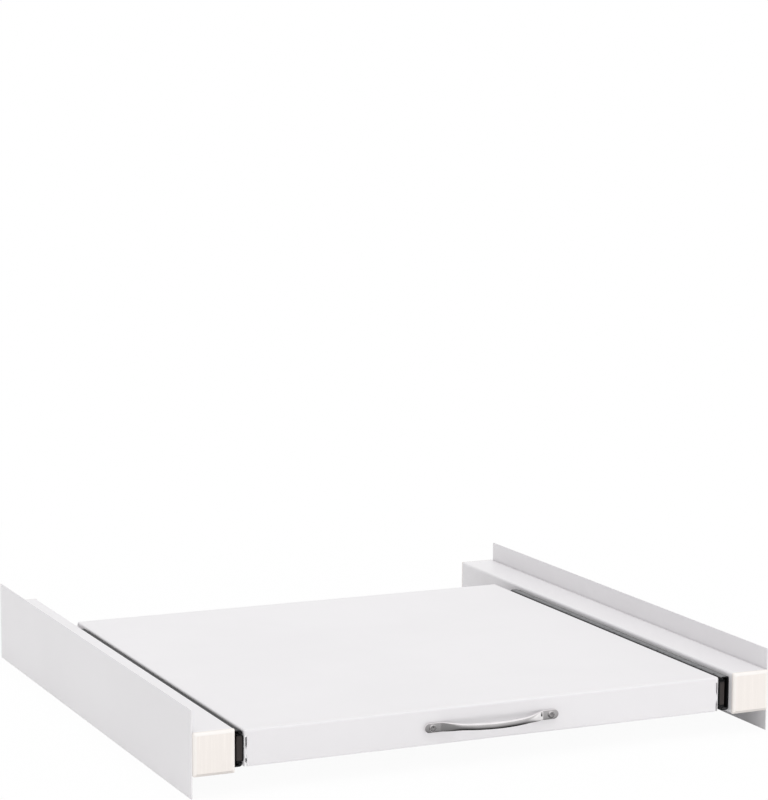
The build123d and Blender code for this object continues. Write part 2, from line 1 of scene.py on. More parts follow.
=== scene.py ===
"""Stacking kit with a pull-out shelf: its finishes, its fine pieces and a plain studio.

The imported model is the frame. Its sheet metal, rails and small parts keep their meshes
and get their finishes here. The bow handle, the heads of its screws and the end caps are
remade as smooth surfaces in the same places, and the balls are merged copies. The rubber
pads are remade too, but with a known fault that pad_mesh describes. All sizes are in
metres.
"""

import math

import bmesh
import bpy
import numpy as np
from bpy.props import FloatProperty, FloatVectorProperty, IntProperty, PointerProperty
from mathutils import Matrix, Vector


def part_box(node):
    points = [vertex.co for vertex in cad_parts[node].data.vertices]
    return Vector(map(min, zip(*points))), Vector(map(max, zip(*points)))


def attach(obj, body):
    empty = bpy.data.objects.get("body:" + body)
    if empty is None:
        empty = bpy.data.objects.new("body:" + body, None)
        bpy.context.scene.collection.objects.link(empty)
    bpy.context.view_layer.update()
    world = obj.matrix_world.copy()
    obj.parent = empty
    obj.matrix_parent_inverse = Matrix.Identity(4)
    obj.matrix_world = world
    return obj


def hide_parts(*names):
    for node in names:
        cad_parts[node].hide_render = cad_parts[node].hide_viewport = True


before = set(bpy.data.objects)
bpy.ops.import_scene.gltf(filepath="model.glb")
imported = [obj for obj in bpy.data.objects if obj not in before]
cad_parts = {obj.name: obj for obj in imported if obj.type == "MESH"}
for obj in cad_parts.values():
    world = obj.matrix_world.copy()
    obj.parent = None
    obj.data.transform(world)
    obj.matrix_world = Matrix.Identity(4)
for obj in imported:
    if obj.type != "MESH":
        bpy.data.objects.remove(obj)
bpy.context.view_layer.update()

bl_info = {
    "name": "Stacking kit with pull-out shelf",
    "version": (1, 0, 0),
    "blender": (4, 5, 0),
    "location": "View3D > Sidebar > Stacking kit",
    "description": "Finishes, handle, caps, pads and studio for the stacking kit",
    "category": "Object",
}

SIDES = ("left", "right")
MM = 0.001
WHITE = (1.0, 1.0, 1.0, 1.0)

# How new meshes are joined: points merged, slivers taken out, and the smoothing's limit
MERGE_REACH = 1e-7
SLIVER = 1e-8
CREASE = math.radians(35.0)

# Grain of the finishes: how wide it is and how deep it presses
EDGE_SAMPLES = 4
PEEL_FINE = 0.3  # the fine peel's width, as a share of the orange peel's
COAT_CLOUD = 0.12
CAP_STREAK, CAP_GRAIN, CAP_DEPTH = 0.0022, 0.0004, 0.00003
RAIL_LINE, RAIL_DUST, RAIL_DEPTH = 0.0008, 0.004, 0.00002
PLUG_GRAIN, PLUG_DEPTH = 0.0005, 0.00004
PLATE_CLOUD = 0.02
RUBBER_SKIN, RUBBER_DUST, RUBBER_DEPTH = 0.0012, 0.02, 0.00008

# Bare and plated metals: roughness, width of the polishing lines and their depth
CAGE_LINES = (0.35, 0.0006, 0.00001)
BALL_LINES = (0.10, 0.0004, 0.000001)
ZINC_LINES = (0.34, 0.0005, 0.000006)
CHROME_LINES = (0.09, 0.0007, 0.000004)
SCREW_LINES = (0.24, 0.0007, 0.000006)

# Index of refraction and middle roughness of the other finishes. The rails' coat is dull.
COAT_IOR = 1.5
CAP_IOR, CAP_ROUGH = 1.46, 0.26
RAIL_IOR, RAIL_ROUGH = 1.18, 0.46
PLUG_IOR, PLUG_ROUGH = 1.46, 0.48
RUBBER_IOR, RUBBER_ROUGH = 1.52, 0.62

# Levels of a noise between which soft clouds go from none to full
CLOUDY = (0.3, 0.7)

# A rubber pad's section round from its top left, as shares of half width and of height
PAD_WIDE = (-1, -1, -0.94, 0.94, 1, 1)
PAD_TALL = (1, 0.25, 0, 0, 0.25, 1)
RIB_CREST = 1.6  # how many times the rib's wave is raised before its crest is cut flat

# A screw head's dome, and how much shallower its recess is at the rim
DOME_POWER, DOME_ROOT = 14, 2.4
RECESS_TAPER = 0.45

# The photograph's frame and its camera
PHOTO_W, PHOTO_H = 768, 800
CAMERA_AT = (-1.1232, -2.4892, 0.6915)
CAMERA_YAW = math.radians(24.65)
CAMERA_PITCH = math.radians(-7.84)
CAMERA_ROLL = math.radians(0.34)
FOCAL_PX = 2623.9
SENSOR = 36.0
CLIP_NEAR, CLIP_FAR = 0.05, 100.0

# The stage
FLOOR_HALF = 12.0
FLOOR_GAP = 0.5 * MM
FLOOR_LEVEL = 0.92
FLOOR_NEAR, FLOOR_FAR = 0.55, 1.1  # the floor's shadow fades out between them
FRONT_DIRECTION, FRONT_SPREAD = (-0.04, -1.0, -0.09), 20.0
TOP_DIRECTION, TOP_SPREAD = (0.0, -0.10, 1.0), 50.0
CARD_FRONT_Y = -0.305  # the middle of the grip, which the cards stand around
CARD_HALF = 0.045  # half the width of the grip
CARD_R = 1.3
CARD_H = 0.70
CARD_LIFT = 1.0 * MM
CARD_SHADE = 0.20  # the ground card is dark nearer than this
CARD_LEFT = (math.radians(-45), math.radians(8))  # dark turns to middle between them
CARD_RIGHT = (math.radians(66), math.radians(88))  # middle turns to light between them
CARD_TURN = (-80.0, 115.0)  # degrees that the cards reach round, left and right
CARD_COLUMNS = 61


class Shade:
    """One output socket of a material's nodes. Arithmetic on it adds Math nodes."""

    def __init__(self, tree, socket=None):
        self.tree = tree
        self.socket = socket

    def node(self, kind, settings=None, inputs=None, output=0):
        """Adds a node: its settings first, then the values or links of its sockets."""
        new = self.tree.nodes.new(kind)
        for key, value in (settings or {}).items():
            setattr(new, key, value)
        for key, value in (inputs or {}).items():
            if isinstance(value, Shade):
                self.tree.links.new(value.socket, new.inputs[key])
            else:
                new.inputs[key].default_value = value
        return Shade(self.tree, new.outputs[output] if len(new.outputs) else None)

    def math(self, operation, *values):
        """A Math node on some values or sockets."""
        return self.node("ShaderNodeMath", {"operation": operation}, dict(enumerate(values)))

    def __add__(self, other):
        return self.math("ADD", self, other)

    def __sub__(self, other):
        return self.math("SUBTRACT", self, other)

    def __rsub__(self, other):
        return self.math("SUBTRACT", other, self)

    def __mul__(self, other):
        return self.math("MULTIPLY", self, other)

    __radd__ = __add__
    __rmul__ = __mul__

    def clamp(self):
        """The value held between 0 and 1."""
        return self.math("MINIMUM", self.math("MAXIMUM", self, 0.0), 1.0)

    def band(self, start, end):
        """0 where the value is start, 1 where it is end, eased between them."""
        return self.node(
            "ShaderNodeMapRange",
            {"interpolation_type": "SMOOTHSTEP"},
            {"Value": self, "From Min": start, "From Max": end},
        )

    def length(self):
        """How long the vector is."""
        return self.node("ShaderNodeVectorMath", {"operation": "LENGTH"}, {0: self}, "Value")

    def axes(self):
        """The vector's x, y and z, as three values."""
        parts = self.node("ShaderNodeSeparateXYZ", {}, {0: self})
        return [Shade(self.tree, out) for out in parts.socket.node.outputs]

    def mix(self, low, high):
        """A colour between low and high, by this value. The sockets are a Mix's for colour."""
        inputs = {0: self, 6: low, 7: high}
        return self.node("ShaderNodeMix", {"data_type": "RGBA"}, inputs, output=2)


def rgba(colour, factor=1.0):
    """A linear colour times a factor, as four numbers."""
    return tuple(min(1.0, channel * factor) for channel in colour[:3]) + (1.0,)


def tinted(mask, colour, low, high):
    """A colour that goes from low to high times itself as the mask goes from 0 to 1."""
    return mask.mix(rgba(colour, low), rgba(colour, high))


def new_material(name):
    """An empty material, the maker of its nodes, and the point's own place on the object."""
    material = bpy.data.materials.new(name)
    material.use_nodes = True
    material.node_tree.nodes.clear()
    maker = Shade(material.node_tree)
    return material, maker, maker.node("ShaderNodeTexCoord", output="Object")


def close_material(material, maker, plain, colour, rough, normal):
    """Joins what varies to one shader, which also holds a few plain values."""
    varying = {"Base Color": colour, "Roughness": rough, "Normal": normal}
    surface = maker.node("ShaderNodeBsdfPrincipled", {}, {**plain, **varying})
    maker.node("ShaderNodeOutputMaterial", {}, {"Surface": surface})
    return material


def noise(maker, place, size, detail=2.0, roughness=0.5):
    """Soft noise whose blotches are about size metres across."""
    return maker.node(
        "ShaderNodeTexNoise",
        {},
        {"Vector": place, "Scale": 1.0 / size, "Detail": detail, "Roughness": roughness},
    )


def stretched(maker, place, scale):
    """The place with each axis scaled, so that a noise runs along one of them."""
    return maker.node("ShaderNodeMapping", {}, {"Vector": place, "Scale": scale})


def bump(maker, height, depth):
    """A normal from a height between 0 and 1 that stands depth metres tall."""
    inputs = {"Strength": 1.0, "Distance": depth, "Height": height}
    return maker.node("ShaderNodeBump", {}, inputs)


def edge_mask(maker, radius):
    """1 along convex and concave edges, fading out within radius metres of them."""
    around = maker.node("ShaderNodeBevel", {"samples": EDGE_SAMPLES}, {"Radius": radius})
    facing = maker.node("ShaderNodeNewGeometry", output="Normal")
    product = {"operation": "DOT_PRODUCT"}
    same = maker.node("ShaderNodeVectorMath", product, {0: around, 1: facing}, "Value")
    return (1.0 - same).band(0.0, 0.25)


def coat_material(finish):
    """White powder coat: orange peel, faint clouding, and a painted highlight along the edges.
    """
    material, maker, place = new_material("powder_coat_white")
    peel = noise(maker, place, finish.peel_size, 3.0, 0.55)
    fine = noise(maker, place, finish.peel_size * PEEL_FINE)
    cloud = noise(maker, place, COAT_CLOUD, 3.0)
    colour = tinted(cloud.band(*CLOUDY), finish.coat_colour, 0.985, 1.01)
    edges = edge_mask(maker, finish.edge_width)
    # Painted highlight: a paler colour along convex and concave edges
    colour = (edges * finish.edge_highlight_share).mix(colour, rgba(finish.edge_highlight_colour))
    rough = finish.coat_roughness + 0.06 * (cloud - 0.5) + 0.04 * (fine - 0.5)
    normal = bump(maker, peel * 0.75 + fine * 0.25, finish.peel_depth)
    return close_material(material, maker, {"IOR": COAT_IOR}, colour, rough, normal)


def cap_material(finish):
    """Cream moulded plastic: upright draw marks, fine grain, a painted highlight on the rims
    above and painted shade on them below.
    """
    material, maker, place = new_material("cap_plastic_cream")
    upright = stretched(maker, place, (1.0, 0.05, 0.03))
    streaks = noise(maker, upright, CAP_STREAK, 3.0, 0.6)
    grain = noise(maker, place, CAP_GRAIN)
    colour = tinted(streaks.band(0.35, 0.65), finish.cap_colour, 0.985, 1.0)
    rim = maker.node("ShaderNodeAttribute", {"attribute_name": "rim"}, output="Fac")
    # Painted highlight on the upper rims, then painted shade (half the cap's colour) on the
    # lower rims
    colour = (rim * finish.rim_light_and_shade).clamp().mix(colour, rgba(finish.rim_highlight_colour))
    under = (rim * -finish.rim_light_and_shade).clamp()
    colour = under.mix(colour, rgba(finish.cap_colour, 0.5))
    rough = CAP_ROUGH + 0.10 * (streaks - 0.5) + 0.06 * (grain - 0.5) - 0.06 * rim
    normal = bump(maker, grain * 0.4 + streaks * 0.6, CAP_DEPTH)
    return close_material(material, maker, {"IOR": CAP_IOR}, colour, rough, normal)


def rail_material(finish, name, dusty):
    """Black electro-coated steel: drawing lines along the rail, and on its tops dust together
    with a painted sheen.
    """
    material, maker, place = new_material(name)
    along_y = stretched(maker, place, (1.0, 0.01, 1.0))
    lines = noise(maker, along_y, RAIL_LINE, 3.0, 0.6)
    dust = noise(maker, place, RAIL_DUST, 4.0, 0.6)
    colour = tinted(dust.band(0.45, 0.8), finish.slide_colour, 1.0, 1.7)
    # Dust and a painted sheen: a paler grey on faces that look up
    upward = maker.node("ShaderNodeNewGeometry", output="Normal").axes()[2]
    dust_and_sheen = upward.band(0.6, 0.95) * dust.band(0.2, 0.5) * dusty
    colour = dust_and_sheen.mix(colour, rgba(finish.dust_and_sheen_colour))
    rough = RAIL_ROUGH + 0.16 * (lines - 0.5) + 0.10 * (dust - 0.5)
    normal = bump(maker, lines, RAIL_DEPTH)
    return close_material(material, maker, {"IOR": RAIL_IOR}, colour, rough, normal)


def plug_material(finish):
    """Dark grey moulded plastic with a matt spark-eroded grain."""
    material, maker, place = new_material("plug_plastic_grey")
    grain = noise(maker, place, PLUG_GRAIN, 3.0, 0.6)
    colour = tinted(grain.band(*CLOUDY), finish.plug_colour, 0.85, 1.15)
    rough = PLUG_ROUGH + 0.15 * (grain - 0.5)
    normal = bump(maker, grain, PLUG_DEPTH)
    return close_material(material, maker, {"IOR": PLUG_IOR}, colour, rough, normal)


def plated_material(name, colour, roughness, streak_size, streak_depth):
    """Plated or bare metal: fine polishing lines over a slightly clouded plate."""
    material, maker, place = new_material(name)
    along_x = stretched(maker, place, (0.08, 1.0, 1.0))
    lines = noise(maker, along_x, streak_size, 3.0, 0.6)
    cloud = noise(maker, place, PLATE_CLOUD, 3.0)
    tint = tinted(cloud.band(*CLOUDY), colour, 0.94, 1.02)
    rough = roughness * (0.8 + 0.25 * lines + 0.15 * cloud)
    normal = bump(maker, lines, streak_depth)
    return close_material(material, maker, {"Metallic": 1.0}, tint, rough, normal)


def rubber_material(finish):
    """Black rubber with a dull, slightly dusty skin."""
    material, maker, place = new_material("rubber_black")
    skin = noise(maker, place, RUBBER_SKIN, 4.0, 0.65)
    dust = noise(maker, place, RUBBER_DUST, 3.0)
    colour = tinted(dust.band(0.4, 0.8), finish.rubber_colour, 1.0, 1.8)
    rough = RUBBER_ROUGH + 0.2 * (skin - 0.5)
    normal = bump(maker, skin, RUBBER_DEPTH)
    return close_material(material, maker, {"IOR": RUBBER_IOR}, colour, rough, normal)


def paint(names, material):
    """Gives CAD nodes one material, in place of what came with them."""
    for name in names:
        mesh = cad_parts[name].data
        mesh.materials.clear()
        mesh.materials.append(material)


def both(*names):
    """Left and right node names."""
    return [f"{name}_{side}" for name in names for side in SIDES]


def grid_mesh(name, points, closed=True):
    """A mesh from a grid of points, rows by columns by 3, whose rows may be closed rings."""
    rows, columns = points.shape[:2]
    steps = columns if closed else columns - 1
    row, start = np.meshgrid(np.arange(rows - 1) * columns, np.arange(steps), indexing="ij")
    end = (start + 1) % columns
    corners = [row + start, row + end, row + columns + end, row + columns + start]
    faces = np.stack(corners, axis=-1).reshape(-1, 4)
    mesh = bpy.data.meshes.new(name)
    mesh.from_pydata(points.reshape(-1, 3).tolist(), [], faces.tolist())
    return mesh


def joined(name, meshes):
    """One mesh from several, merged and closed, faces outwards, smooth but at creases."""
    work = bmesh.new()
    for mesh in meshes:
        work.from_mesh(mesh)
    bmesh.ops.remove_doubles(work, verts=work.verts, dist=MERGE_REACH)
    bmesh.ops.dissolve_degenerate(work, edges=work.edges, dist=SLIVER)
    bmesh.ops.recalc_face_normals(work, faces=work.faces)
    result = bpy.data.meshes.new(name)
    work.to_mesh(result)
    work.free()
    result.shade_smooth()
    result.set_sharp_from_angle(angle=CREASE)
    return result


def add_piece(name, mesh, body, material, replaced):
    """Links a mesh as a piece on a body, with one material, in place of CAD nodes."""
    piece = bpy.data.objects.new(name, mesh)
    bpy.context.scene.collection.objects.link(piece)
    mesh.materials.append(material)
    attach(piece, body)
    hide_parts(*replaced)


def ring_angles(corner_points):
    """The way out at each point of a rounded rectangle, quarter by quarter."""
    quarter = np.linspace(0, math.pi / 2, corner_points)
    return (np.arange(4)[:, None] * math.pi / 2 + quarter).ravel()


def rounded_rectangles(half_w, half_h, radius, corner_points):
    """Rings of rounded rectangles, one for each value in the three arrays.

    A point is its corner's centre plus the radius times (cos a, sin a), where a goes
    round once and the corner is the one in a's quadrant. The centre stands the radius
    inside the corner, so a ring of no size is a single point.
    """
    angles = ring_angles(corner_points)
    sign_x = np.repeat([1, -1, -1, 1], corner_points)
    sign_y = np.repeat([1, 1, -1, -1], corner_points)
    radius = np.minimum(radius, np.minimum(half_w, half_h))[:, None]
    x = sign_x * (half_w[:, None] - radius) + radius * np.cos(angles)
    y = sign_y * (half_h[:, None] - radius) + radius * np.sin(angles)
    return x, y


def cap_mesh(node, front, size):
    """An end cap as one closed skin: rounded face, flange, and hollow plug in the tube.

    It is a profile of (inset, depth) carried round a rounded rectangle. The face's edge
    is a quarter circle: inset R (1 - sin t) and depth R (1 - cos t) for t from 0 to a
    right angle. The corners keep their own radius at every inset, as a moulded cap's do.
    The rim attribute is the square root of cos t on that edge, times 1/2 + 3/2 sin a held
    between -1 and 1, a being the way out, so it is 1 above and -1 below. It marks where
    the material paints a highlight on the upper rim and shade on the lower rim.
    """
    low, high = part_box(node)
    half_w, half_h = (high.x - low.x) / 2, (high.z - low.z) / 2
    whole = min(half_w, half_h)
    t = np.linspace(0, math.pi / 2, size.round_steps)
    edge = size.edge_radius
    plug = size.wall + size.plug_gap
    inner = plug + size.plug_wall
    length = high.y - low.y
    floor = size.flange - size.plug_wall
    lead = size.plug_wall / 2
    face = [(whole, 0.0), (edge + size.land, 0.0)]
    rounding = np.stack([edge * (1 - np.sin(t)), edge * (1 - np.cos(t))], axis=-1)
    outside = [(0.0, size.flange), (plug, size.flange), (plug, length - lead)]
    tip = [(plug + lead, length), (inner, length)]
    hollow = [(inner, floor), (inner + size.land, floor), (whole, floor)]
    inset, depth = np.concatenate([face, rounding, outside, tip, hollow]).T
    radius = np.full(len(inset), size.corner_radius)
    x, z = rounded_rectangles(half_w - inset, half_h - inset, radius, size.corner_points)
    y = low.y + depth if front else high.y - depth
    middle = (low + high) / 2
    y = np.broadcast_to(y[:, None], x.shape)
    skin = grid_mesh("skin", np.stack([middle.x + x, y, middle.z + z], axis=-1))
    rim = np.zeros(x.shape)
    rim[len(face) : len(face) + len(t)] = np.sqrt(np.cos(t))[:, None]
    rim *= np.clip(0.5 + 1.5 * np.sin(ring_angles(size.corner_points)), -1, 1)
    skin.attributes.new("rim", "FLOAT", "POINT").data.foreach_set("value", rim.ravel())
    return joined(node + "_skin", [skin])


def pad_mesh(node, size):
    """A node's two rubber pads as closed skins with ribs across their undersides.

    Each ring lies square to y and is a box with its lower edges cut off. Its lower face
    stands d (1 - w) over the lowest point, w being c (1 - cos(2 pi y / pitch)) / 2 held
    under 1. Its half width is the pad's, less R - sqrt(R^2 - (R - e)^2) where the end is
    nearer than R, e being the way to the end.

    Known fault: the pads are told apart by the widest gap between neighbouring y values.
    A long pad has no points along its sides, so that gap lies inside the rear pad. The
    front pad comes out too long and runs through the front strap, and most of the rear
    pad is missing.
    """
    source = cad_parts[node].data
    places = np.zeros(len(source.vertices) * 3)
    source.vertices.foreach_get("co", places)
    places = places.reshape(-1, 3)
    order = np.sort(places[:, 1])
    gap = np.argmax(np.diff(order))
    low, high = places.min(axis=0), places.max(axis=0)
    middle, half = (low[0] + high[0]) / 2, (high[0] - low[0]) / 2
    skins = []
    for start, end in ((order[0], order[gap]), (order[gap + 1], order[-1])):
        count = round((end - start) / size.rib_pitch)
        y = np.linspace(start, end, count * size.rib_steps + 1)
        to_end = np.minimum(y - start, end - y)
        short = np.clip(size.end_radius - to_end, 0, None)
        narrow = size.end_radius - np.sqrt(size.end_radius**2 - short**2)
        wave = (1 - np.cos((y - start) / (end - start) * count * 2 * math.pi)) / 2
        lower = (low[2] + size.rib_depth * (1 - np.clip(wave * RIB_CREST, 0, 1)))[:, None]
        x = middle + (half - narrow)[:, None] * np.array(PAD_WIDE)
        z = lower + (high[2] - lower) * np.array(PAD_TALL)
        rings = np.stack([x, np.broadcast_to(y[:, None], z.shape), z], axis=-1)
        first, last = (np.broadcast_to(ring.mean(axis=0), ring.shape) for ring in rings[[0, -1]])
        skins.append(grid_mesh("pad", np.concatenate([first[None], rings, last[None]])))
    return joined(node + "_ribbed", skins)


def smooth(share):
    """Eases 0 to 1: 3 t^2 - 2 t^3, with t held between 0 and 1."""
    t = np.clip(share, 0, 1)
    return t * t * (3 - 2 * t)


def bow_line(x, half_chord, rise, neck_r):
    """How far the grip's middle line stands off the pads at x, and its slope.

    One wide arc of radius R spans the middle, and an arc of radius neck_r at each end
    meets the pads flush. With a = 2 atan(rise / half_chord), R is half_chord / sin a less
    neck_r, and the arcs meet neck_r sin a from the ends.
    """
    turn = 2 * math.atan(rise / half_chord)
    bow_r = half_chord / math.sin(turn) - neck_r
    neck = half_chord - neck_r * math.sin(turn)
    reach = np.clip(half_chord - np.abs(x), 0, None)
    on_neck = np.abs(x) > neck
    wide = rise - bow_r + np.sqrt(bow_r**2 - np.where(on_neck, 0, x) ** 2)
    small = neck_r - np.sqrt(neck_r**2 - np.minimum(reach, neck_r * math.sin(turn)) ** 2)
    out = np.where(on_neck, small, wide)
    return out, np.gradient(out, x)


def handle_mesh(size):
    """The bow handle as one closed skin.

    Its rings follow the middle line. A ring is a superellipse, half its height times
    cos a to the power 2 / p and half its thickness times sin a to the same power, signs
    kept. It is nearly an ellipse in the grip, and as tall as a pad and nearly a rectangle
    from flat_to outwards. The height follows a circle at the rounded outer ends, and the
    thickness grows from pad to grip as the line rises.
    """
    low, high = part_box("handle")
    half = (high.x - low.x) / 2
    face_y, z = high.y, (low.z + high.z) / 2
    pad_h = (high.z - low.z) / 2
    out_max = high.y - low.y
    rise = out_max - size.grip_thickness / 2 - size.pad_thickness / 2
    t = np.linspace(-1, 1, size.rings)
    x = half * np.sin(t * math.pi / 2)
    out, slope = bow_line(x, size.half_chord, rise, size.neck_radius)
    ease = smooth(out / rise)
    flat = smooth((np.abs(x) - size.flat_from) / (size.flat_to - size.flat_from))
    tall = size.grip_height / 2 + (pad_h - size.grip_height / 2) * flat
    thick = (size.pad_thickness + (size.grip_thickness - size.pad_thickness) * ease) / 2
    end = np.clip((np.abs(x) - (half - pad_h)) / pad_h, 0, 1)
    tall = tall * np.sqrt(np.clip(1 - end**2, 0, 1))
    power = size.grip_power + (size.pad_power - size.grip_power) * flat**2
    angles = np.linspace(0, 2 * math.pi, size.ring_points, endpoint=False)
    ca, sa = np.cos(angles), np.sin(angles)
    exponent = (2 / power)[:, None]
    across = tall[:, None] * np.sign(ca) * np.abs(ca) ** exponent
    through = thick[:, None] * np.sign(sa) * np.abs(sa) ** exponent
    norm = np.sqrt(1 + slope**2)[:, None]
    px = x[:, None] - through * slope[:, None] / norm
    py = face_y - size.pad_thickness / 2 - out[:, None] - through / norm
    px = np.clip(px, -half, half)
    py = np.minimum(py, face_y)
    pz = z + across
    points = np.stack([np.broadcast_to(px, pz.shape), py, pz], axis=-1)
    for tip in (0, -1):
        points[tip] = points[tip].mean(axis=0)
    return joined("handle_bow", [grid_mesh("bow", points)])


def screw_head_mesh(centre, size):
    """A domed pan head with a cross recess, its top towards -Y, as one closed skin.

    On a polar grid the height is h (1 - (r / R)^14)^(1/2.4) less the recess, whose depth
    eases in over a short wall where |x| or |z| is under half the slot's width. The flat
    underside sits head_sink deep in the pad.
    """
    radius, height = size.head_radius, size.head_height
    r = radius * np.sin(np.linspace(0, 1, size.head_rings) * math.pi / 2)
    angles = np.linspace(0, 2 * math.pi, size.head_points, endpoint=False)
    rr, aa = np.meshgrid(r, angles, indexing="ij")
    x, z = rr * np.cos(aa), rr * np.sin(aa)
    dome = height * np.clip(1 - (rr / radius) ** DOME_POWER, 0, 1) ** (1 / DOME_ROOT)
    wide, long, wall = size.slot_width / 2, size.slot_length / 2, size.slot_wall

    def slot(u, v):
        """1 in the slot that runs along v, 0 outside it."""
        side = np.clip((wide - np.abs(u)) / wall + 0.5, 0, 1)
        ends = np.clip((long - np.abs(v)) / wall + 0.5, 0, 1)
        return side * ends

    cut = smooth(np.maximum(slot(x, z), slot(z, x)))
    out = dome - size.slot_depth * cut * (1 - RECESS_TAPER * rr / radius)
    points = np.stack([centre.x + x, centre.y - out, centre.z + z], axis=-1)
    base = points[-1] + [0, size.head_sink, 0]
    middle = np.broadcast_to(base.mean(axis=0), base.shape)
    return grid_mesh("head", np.concatenate([points, base[None], middle[None]]))


class KitFinish(bpy.types.PropertyGroup):
    coat_colour: FloatVectorProperty(
        name="Powder coat", description="Colour of the coated sheet metal",
        subtype="COLOR", size=3, default=(0.80, 0.785, 0.80))
    coat_roughness: FloatProperty(
        name="Coat roughness", description="Roughness of the powder coat",
        subtype="FACTOR", default=0.34, min=0.0, max=1.0)
    peel_size: FloatProperty(
        name="Peel size", description="Width of the powder coat's orange peel",
        unit="LENGTH", default=0.0014)
    peel_depth: FloatProperty(
        name="Peel depth", description="Height of the powder coat's orange peel",
        unit="LENGTH", default=0.000012)
    # Painted highlight along the coat's edges: its colour, its reach and its share
    edge_highlight_colour: FloatVectorProperty(
        name="Edges", description="Colour of the coat where edges are rubbed bright",
        subtype="COLOR", size=3, default=(0.93, 0.925, 0.93))
    edge_width: FloatProperty(
        name="Edge width", description="How far the rubbed coat reaches from an edge",
        unit="LENGTH", default=0.0008)
    edge_highlight_share: FloatProperty(
        name="Edge wear", description="How much the rubbed coat shows",
        subtype="FACTOR", default=0.5, min=0.0, max=1.0)
    cap_colour: FloatVectorProperty(
        name="End caps", description="Colour of the moulded end caps",
        subtype="COLOR", size=3, default=(0.875, 0.825, 0.785))
    # Painted highlight on the caps' upper rims; the same share paints shade on their lower rims
    rim_highlight_colour: FloatVectorProperty(
        name="Cap rims", description="Colour of the end caps' rounded rims",
        subtype="COLOR", size=3, default=(0.95, 0.94, 0.93))
    rim_light_and_shade: FloatProperty(
        name="Rim brightness", description="How much the rims' own colour shows",
        subtype="FACTOR", default=0.5, min=0.0, max=1.0)
    slide_colour: FloatVectorProperty(
        name="Slides", description="Colour of the slides' coated steel",
        subtype="COLOR", size=3, default=(0.012, 0.012, 0.013))
    # Dust and a painted sheen on the rails' tops; the left and right outer amounts differ as
    # painted sheen
    dust_and_sheen_colour: FloatVectorProperty(
        name="Dust", description="Colour of the dust on the rails' tops",
        subtype="COLOR", size=3, default=(0.30, 0.30, 0.31))
    left_dust_and_sheen: FloatProperty(
        name="Dust, left", description="How much dust lies on the left outer rail's tops",
        subtype="FACTOR", default=0.06, min=0.0, max=1.0)
    right_dust_and_sheen: FloatProperty(
        name="Dust, right", description="How much dust lies on the right outer rail's tops",
        subtype="FACTOR", default=0.65, min=0.0, max=1.0)
    inner_dust_and_sheen: FloatProperty(
        name="Dust, inner", description="How much dust lies on the inner rails' tops",
        subtype="FACTOR", default=0.05, min=0.0, max=1.0)
    plug_colour: FloatVectorProperty(
        name="Plugs", description="Colour of the plugs in the slides' front ends",
        subtype="COLOR", size=3, default=(0.034, 0.027, 0.025))
    chrome_colour: FloatVectorProperty(
        name="Chrome", description="Colour of the handle's plating",
        subtype="COLOR", size=3, default=(0.92, 0.895, 0.90))
    # Darker than the chrome: partly the screws' own plating, partly painted shade on the heads
    screw_colour_with_shade: FloatVectorProperty(
        name="Handle screws", description="Colour of the plating on the handle's screws",
        subtype="COLOR", size=3, default=(0.72, 0.70, 0.705))
    zinc_colour: FloatVectorProperty(
        name="Zinc", description="Colour of the zinc-plated screws and nuts",
        subtype="COLOR", size=3, default=(0.55, 0.56, 0.58))
    steel_colour: FloatVectorProperty(
        name="Bare steel", description="Colour of the cages and balls",
        subtype="COLOR", size=3, default=(0.50, 0.50, 0.51))
    rubber_colour: FloatVectorProperty(
        name="Rubber", description="Colour of the pads and bumpers",
        subtype="COLOR", size=3, default=(0.018, 0.018, 0.018))


class KitHandle(bpy.types.PropertyGroup):
    """Sizes of the bow handle and the heads of its screws."""

    pad_thickness: FloatProperty(
        name="Pad thickness", description="Thickness of the flat pads",
        unit="LENGTH", default=3.0 * MM)
    grip_thickness: FloatProperty(
        name="Grip thickness", description="Front to back through the grip",
        unit="LENGTH", default=5.0 * MM)
    grip_height: FloatProperty(
        name="Grip height", description="Height of the grip at its middle",
        unit="LENGTH", default=6.9 * MM)
    flat_from: FloatProperty(
        name="Flat from", description="Handle's middle to where the grip flattens into a neck",
        unit="LENGTH", default=32.0 * MM)
    flat_to: FloatProperty(
        name="Flat to", description="Handle's middle to where the neck is as tall as a pad",
        unit="LENGTH", default=57.0 * MM)
    half_chord: FloatProperty(
        name="Half chord", description="Handle's middle to the inner end of a pad",
        unit="LENGTH", default=57.0 * MM)
    neck_radius: FloatProperty(
        name="Neck radius", description="Radius where the grip leaves the pads",
        unit="LENGTH", default=8.0 * MM)
    grip_power: FloatProperty(
        name="Grip power", description="Power of the grip's superellipse, 2 is an ellipse",
        default=2.6, min=2.0)
    pad_power: FloatProperty(
        name="Pad power", description="Power of the pads' superellipse, higher is squarer",
        default=12.0, min=2.0)
    rings: IntProperty(name="Rings", description="Sections along the handle", default=161)
    ring_points: IntProperty(
        name="Ring points", description="Points around each section", default=48)
    head_radius: FloatProperty(
        name="Head radius", description="Radius of the screw heads",
        unit="LENGTH", default=3.5 * MM)
    head_height: FloatProperty(
        name="Head height", description="Height of the screw heads",
        unit="LENGTH", default=1.6 * MM)
    head_sink: FloatProperty(
        name="Head sink", description="How deep the heads' closed undersides sit in the pads",
        unit="LENGTH", default=0.1 * MM)
    slot_width: FloatProperty(
        name="Slot width", description="Width of the cross recess's arms",
        unit="LENGTH", default=1.1 * MM)
    slot_length: FloatProperty(
        name="Slot length", description="Length of the cross recess",
        unit="LENGTH", default=4.2 * MM)
    slot_depth: FloatProperty(
        name="Slot depth", description="Depth of the cross recess",
        unit="LENGTH", default=1.1 * MM)
    slot_wall: FloatProperty(
        name="Slot wall", description="Width over which the recess's wall falls",
        unit="LENGTH", default=0.18 * MM)
    head_rings: IntProperty(name="Head rings", description="Rings of a head", default=56)
    head_points: IntProperty(
        name="Head points", description="Points around a head", default=96)


